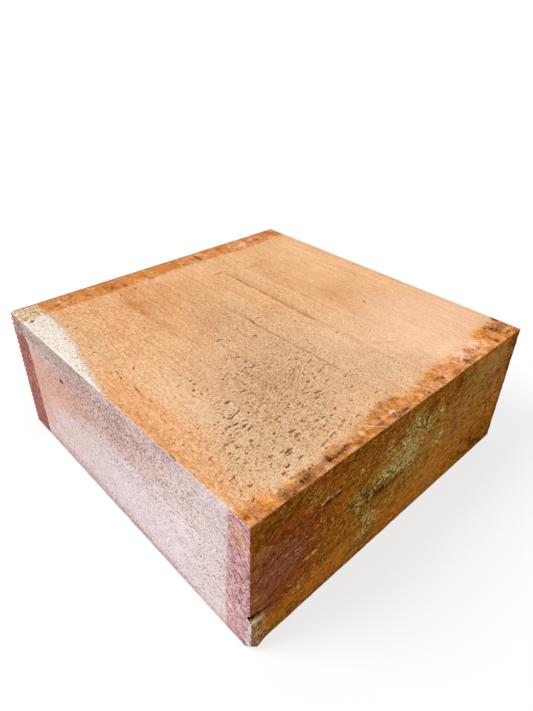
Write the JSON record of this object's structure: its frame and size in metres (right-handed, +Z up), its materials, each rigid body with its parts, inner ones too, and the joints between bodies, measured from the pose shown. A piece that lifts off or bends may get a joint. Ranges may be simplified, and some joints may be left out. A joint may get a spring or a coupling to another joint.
{
  "type": "wood turning blank",
  "caption": "Square bowl-turning blank sawn from one piece of hardwood, with wax-sealed end grain, for turning on a lathe.",
  "frame": {"origin": "centre of the underside, on the bench that the blank lies on", "axes": "+Z up through the thickness; Y along the grain, with the end grain at -Y (front) and +Y (back); X across the grain"},
  "size_m": [0.203, 0.203, 0.078],
  "materials": {
    "waxed_hardwood": "sawn and planed, with paraffin wax on the end grain"
  },
  "bodies": {
    "root": {"turning_blank": "waxed_hardwood"}
  },
  "joints": []
}
